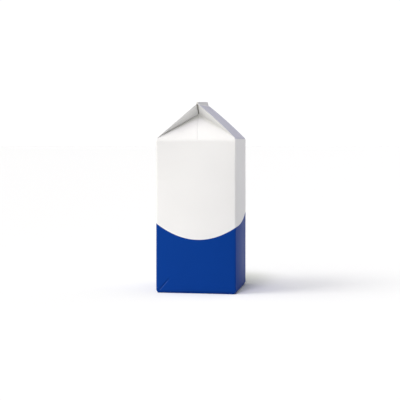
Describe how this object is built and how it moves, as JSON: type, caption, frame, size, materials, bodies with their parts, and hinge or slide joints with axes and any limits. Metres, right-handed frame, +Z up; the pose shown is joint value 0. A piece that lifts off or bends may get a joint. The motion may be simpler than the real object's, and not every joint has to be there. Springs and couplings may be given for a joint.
{
  "type": "milk carton",
  "caption": "Shut gable-top carton of coated board: square white body over a blue field with a sagging edge, tucked gable ends and a low sealed fin.",
  "frame": {"origin": "middle of the base, on the surface that the carton stands on", "axes": "+Z up; the ridge and its fin run along Y, and the gable end with the creased panel that the picture shows faces -Y; the roof panels face -X and +X"},
  "size_m": [0.095, 0.095, 0.2273],
  "materials": {
    "board": "white coated board with a satin sheen, printed blue below a sagging edge"
  },
  "bodies": {
    "root": {"carton": "board"}
  },
  "joints": []
}
